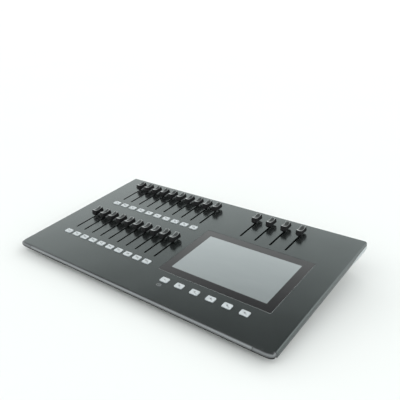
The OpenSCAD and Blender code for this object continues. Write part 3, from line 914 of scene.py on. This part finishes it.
def glass_plate(bm):
    """Cover glass with a bevelled arris that carries a painted highlight; its lit area is a face of its own."""
    s = sizes("desk_screen")
    low, high = panel_box("display_glass")
    middle = (low + high) / 2
    slab(bm, middle, high - low, s.corner, 6, top=s.arris)
    for axis, reach in ((Vector((1, 0, 0)), s.lit_width / 2), (Vector((0, 1, 0)), s.lit_depth / 2)):
        for side in (-1, 1):
            top = level_faces(bm)
            parts = top + list({e for f in top for e in f.edges} | {v for f in top for v in f.verts})
            bmesh.ops.bisect_plane(bm, geom=parts, plane_co=middle + axis * side * reach, plane_no=axis)
    lit = min(level_faces(bm), key=lambda f: (f.calc_center_median() - middle).length)
    lit.material_index = 1
    # The bevel's faces get a light grey finish: a painted highlight along the glass's edge.
    for face in bm.faces:
        if 0.2 < face.normal.z < 0.95:
            face.material_index = 2


def printed_pill(bm):
    """A small printed outline of a round-ended key, in front of the first screen key."""
    width, depth, corner, line, bar = (size * MM for size in (7, 4.5, 1.7, 0.4, 2.6))
    middle = panel_middle("screen_key_1") + Vector((-0.6, -11.5, 0)) * MM
    outer = opening(bm, middle, width, depth, corner, 6)
    inner = opening(bm, middle, width - 2 * line, depth - 2 * line, corner - line, 6)
    bmesh.ops.bridge_loops(bm, edges=outer + inner)
    bmesh.ops.edgeloop_fill(bm, edges=opening(bm, middle, bar, line, 0.45 * line, 3))
    bmesh.ops.recalc_face_normals(bm, faces=bm.faces)
    for face in [f for f in bm.faces if f.normal.z < 0]:
        face.normal_flip()
    bmesh.ops.solidify(bm, geom=bm.faces[:], thickness=-0.02 * MM)
    bmesh.ops.recalc_face_normals(bm, faces=bm.faces)


class DESK_OT_screen(bpy.types.Operator):
    """Touch screen: black-backed glass over an unlit display"""
    bl_idname = "desk.screen"
    bl_label = "Touch screen"

    def execute(self, context):
        glass = piece("screen_cover_glass", glass_plate,
                      ["screen_glass", "unlit_display", "glass_arris_highlight"], even=False)
        for face in glass.data.polygons:
            face.use_smooth = face.normal.z < 0.95
        stand_for(glass, "desk", "display_glass")
        mark = piece("surface_print", printed_pill, ["surface_ink"])
        stand_for(mark, "desk")
        return {"FINISHED"}


# ---------- pieces kept from the frame

DATA_SOCKETS = ("data_socket_1", "data_socket_2")


def softened(node, name, slot, width):
    """A copy of a CAD node with its loose triangles merged and its edges rounded."""
    bm = bmesh.new()
    bm.from_mesh(frame["nodes"][node].data)
    bmesh.ops.remove_doubles(bm, verts=bm.verts, dist=0.002 * MM)
    bmesh.ops.dissolve_limit(bm, angle_limit=math.radians(0.6), verts=bm.verts, edges=bm.edges,
                             use_dissolve_boundaries=False)
    thing = add_object(name, bm, [slot])
    bevel_edges(thing, width, 40)
    weigh_normals(thing)
    stand_for(thing, "desk", node)


class DESK_OT_underside(bpy.types.Operator):
    """Base pan, sockets, feet and the fastenings"""
    bl_idname = "desk.underside"
    bl_label = "Underside and back"

    def execute(self, context):
        softened("base_pan", "base_pan_shell", "pan_paint", 0.4 * MM)
        softened("rear_connectors", "rear_sockets", "connector_plastic", 0.25 * MM)
        softened("rubber_feet", "rubber_feet_set", "foot_rubber", 0.6 * MM)
        softened("pillars_and_screws", "pillars_and_screws_set", "screw_steel", 0.15 * MM)
        return {"FINISHED"}


def mouth_of(name):
    """Where a socket's mouth is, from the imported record."""
    return Vector(next(m for m in frame["record"]["mounts"] if m["name"] == name)["pos_m"])


def rod(bm, start, radius, length, round_end, sides=16):
    """A rod from start towards the back of the desk, with a rounded end."""
    made = bmesh.ops.create_cone(bm, cap_ends=True, segments=sides, radius1=radius, radius2=radius,
                                 depth=length)
    turn = Matrix.Rotation(-math.pi / 2, 4, "X")
    place = Matrix.Translation(start + Vector((0, length / 2, 0))) @ turn
    bmesh.ops.transform(bm, matrix=place, verts=made["verts"])
    rims = [e for e in {e for v in made["verts"] for e in v.link_edges}
            if all(abs(v.co.y - start.y - length) < 0.001 * MM for v in e.verts)]
    round_over(bm, rims, round_end, 2)


def block(bm, middle, size, turn=0.0):
    """A plain block, turned about the desk's depth."""
    made = bmesh.ops.create_cube(bm, size=1)
    place = Matrix.Translation(middle) @ Matrix.Rotation(turn, 4, "Y") @ Matrix.Diagonal((*size, 1))
    bmesh.ops.transform(bm, matrix=place, verts=made["verts"])
    return {f for v in made["verts"] for f in v.link_faces}


def socket_contacts(bm):
    """Five contact sleeves in each data socket and the centre pin of the power inlet."""
    circle, depth = 5 * MM, 8.4 * MM
    for name in DATA_SOCKETS:
        for i in range(5):
            turn = math.radians(-60 * i - 150)
            spot = Vector((circle * math.cos(turn), -depth, -circle * math.sin(turn)))
            rod(bm, mouth_of(name) + spot, 0.8 * MM, 3.6 * MM, 0.2 * MM)
    rod(bm, mouth_of("power_inlet") - Vector((0, 9 * MM, 0)), 1.0 * MM, 7.5 * MM, 0.5 * MM)


def flange_screws(bm):
    """Two countersunk screws on each data socket's flange, each with a black cross laid on its head as painted
    shade for a crossed recess.
    """
    across, up, recess = 9.6 * MM, 12.4 * MM, Vector((2.6, 0.2, 0.55)) * MM
    for name in DATA_SOCKETS:
        for side in (-1, 1):
            spot = mouth_of(name) + Vector((side * across, -0.1 * MM, -side * up))
            rod(bm, spot, 2.4 * MM, 0.6 * MM, 0.3 * MM, 24)
            # A thin black block on the head, not a hole: painted shade for the recess.
            for turn in (0.4, 0.4 + math.pi / 2):
                for face in block(bm, spot + Vector((0, 0.52 * MM, 0)), recess, turn):
                    face.material_index = 1


def stick_tongue(bm):
    """The tongue inside the data-stick socket."""
    low, high = (Vector(c) for c in frame["record"]["physics"]["openings"][0]["box_m"])
    size = Vector((10.6, 9.2, 1.6)) * MM
    block(bm, Vector(((low.x + high.x) / 2, low.y + size.y / 2, high.z - 1.5 * MM)), size)
    round_over(bm, bm.edges[:], 0.2 * MM, 2)


class DESK_OT_rear_details(bpy.types.Operator):
    """Contacts, flange screws and the tongue of the data-stick socket"""
    bl_idname = "desk.rear_details"
    bl_label = "Rear details"

    def execute(self, context):
        for name, maker, finishes, slot in (
                ("socket_contacts", socket_contacts, ["contact_gold"], "connector_plastic"),
                ("flange_screws", flange_screws, ["screw_steel", "connector_plastic"], "screw_steel"),
                ("stick_socket_tongue", stick_tongue, ["connector_plastic"], "connector_plastic")):
            stand_for(piece(name, maker, finishes, lean=False), "desk")
        return {"FINISHED"}


class DESK_OT_insides(bpy.types.Operator):
    """Finishes of the pieces that the cover and the pan hide"""
    bl_idname = "desk.insides"
    bl_label = "Insides"

    def execute(self, context):
        # The fader housings get near-black steel: partly the real dark dust shield, partly painted shade in the
        # slots.
        for node, slot in (("display_module", "display_metal"), ("fader_housings", "fader_steel"),
                           ("circuit_boards", "board_laminate")):
            materials = frame["nodes"][node].data.materials
            for i in range(len(materials)):
                materials[i] = FINISHES[slot]
        return {"FINISHED"}


# ---------- stage

def soft_sun(name, azimuth, elevation, spread, strength):
    """Even light from a broad patch of the room, in degrees; it gives no mirror image of itself."""
    lamp = bpy.data.lights.new(name, "SUN")
    lamp.angle = math.radians(spread)
    lamp.energy = strength
    thing = bpy.data.objects.new(name, lamp)
    turn, rise = math.radians(azimuth), math.radians(elevation)
    source = Vector((math.sin(turn) * math.cos(rise), math.cos(turn) * math.cos(rise), math.sin(rise)))
    thing.rotation_euler = source.to_track_quat("Z", "Y").to_euler()
    thing.visible_glossy = False
    bpy.context.scene.collection.objects.link(thing)


def fade_along(nodes, links, direction, slope, span, levels):
    """A smooth step from one brightness to another along a direction of the sky's sphere."""
    place = nodes.new("ShaderNodeVectorMath")
    place.operation = "DOT_PRODUCT"
    place.inputs[1].default_value = slope
    step = nodes.new("ShaderNodeMapRange")
    step.interpolation_type = "SMOOTHSTEP"
    step.inputs["From Min"].default_value, step.inputs["From Max"].default_value = span
    step.inputs["To Min"].default_value, step.inputs["To Max"].default_value = levels
    links.new(direction, place.inputs[0])
    links.new(place.outputs["Value"], step.inputs["Value"])
    return step.outputs["Result"]


def room(settings):
    """A world with bright walls under a ceiling that is dark overhead and bright in front."""
    world = bpy.data.worlds.new("room")
    world.use_nodes = True
    nodes, links = world.node_tree.nodes, world.node_tree.links
    direction = nodes.new("ShaderNodeTexCoord").outputs["Generated"]
    walls = fade_along(nodes, links, direction, (-settings.left_rise, 0, 1),
                       (settings.low_edge, settings.high_edge), (settings.walls, settings.ceiling))
    front = fade_along(nodes, links, direction, (0, -1, 0),
                       (settings.front_start, settings.front_full), (0, settings.front))
    brighter = nodes.new("ShaderNodeMath")
    brighter.operation = "MAXIMUM"
    links.new(walls, brighter.inputs[0])
    links.new(front, brighter.inputs[1])
    background = nodes["Background"]
    background.inputs["Color"].default_value = (0.95, 0.98, 0.975, 1)
    links.new(brighter.outputs["Value"], background.inputs["Strength"])
    return world


class DESK_OT_stage(bpy.types.Operator):
    """Pale floor, soft light and the camera"""
    bl_idname = "desk.stage"
    bl_label = "Stage"

    def execute(self, context):
        s = sizes("desk_stage")
        scene = context.scene
        scene.view_settings.view_transform = "Standard"
        bm = bmesh.new()
        bmesh.ops.create_grid(bm, x_segments=1, y_segments=1, size=150)
        add_object("floor", bm, ["floor"])

        scene.world = room(s)
        soft_sun("overhead", 100, 78, 70, s.fill)
        soft_sun("key light", -50, 52, 42, s.key)

        camera_data = bpy.data.cameras.new("camera")
        camera_data.lens = s.lens
        camera_data.sensor_width = 36
        camera = bpy.data.objects.new("camera", camera_data)
        back = Vector((math.sin(s.azimuth) * math.cos(s.elevation),
                       -math.cos(s.azimuth) * math.cos(s.elevation), math.sin(s.elevation)))
        camera.location = Vector(s.aim) + back * s.distance
        camera.rotation_euler = (-back).to_track_quat("-Z", "Y").to_euler()
        scene.collection.objects.link(camera)
        scene.camera = camera
        return {"FINISHED"}


# ---------- add-on

OPERATORS = (DESK_OT_cover, DESK_OT_trim, DESK_OT_faders, DESK_OT_keys, DESK_OT_screen,
             DESK_OT_underside, DESK_OT_rear_details, DESK_OT_insides, DESK_OT_stage)


class DESK_PT_panel(bpy.types.Panel):
    """Lists the desk's pieces in the sidebar"""
    bl_idname = "DESK_PT_panel"
    bl_label = "Lighting control desk"
    bl_space_type = "VIEW_3D"
    bl_region_type = "UI"
    bl_category = "Desk"

    def draw(self, context):
        for operator in OPERATORS:
            self.layout.operator(operator.bl_idname)


def register():
    """Registers the property groups, the operators and the panel."""
    for name, group in GROUPS.items():
        bpy.utils.register_class(group)
        setattr(bpy.types.Scene, name, bpy.props.PointerProperty(type=group))
    for kind in OPERATORS + (DESK_PT_panel,):
        bpy.utils.register_class(kind)


def unregister():
    """Removes what register added."""
    for kind in reversed(OPERATORS + (DESK_PT_panel,)):
        bpy.utils.unregister_class(kind)
    for name, group in GROUPS.items():
        delattr(bpy.types.Scene, name)
        bpy.utils.unregister_class(group)


def main():
    """Builds the desk."""
    register()
    make_finishes()
    for operator in OPERATORS:
        group, name = operator.bl_idname.split(".")
        getattr(getattr(bpy.ops, group), name)()


if __name__ == "__main__":
    main()
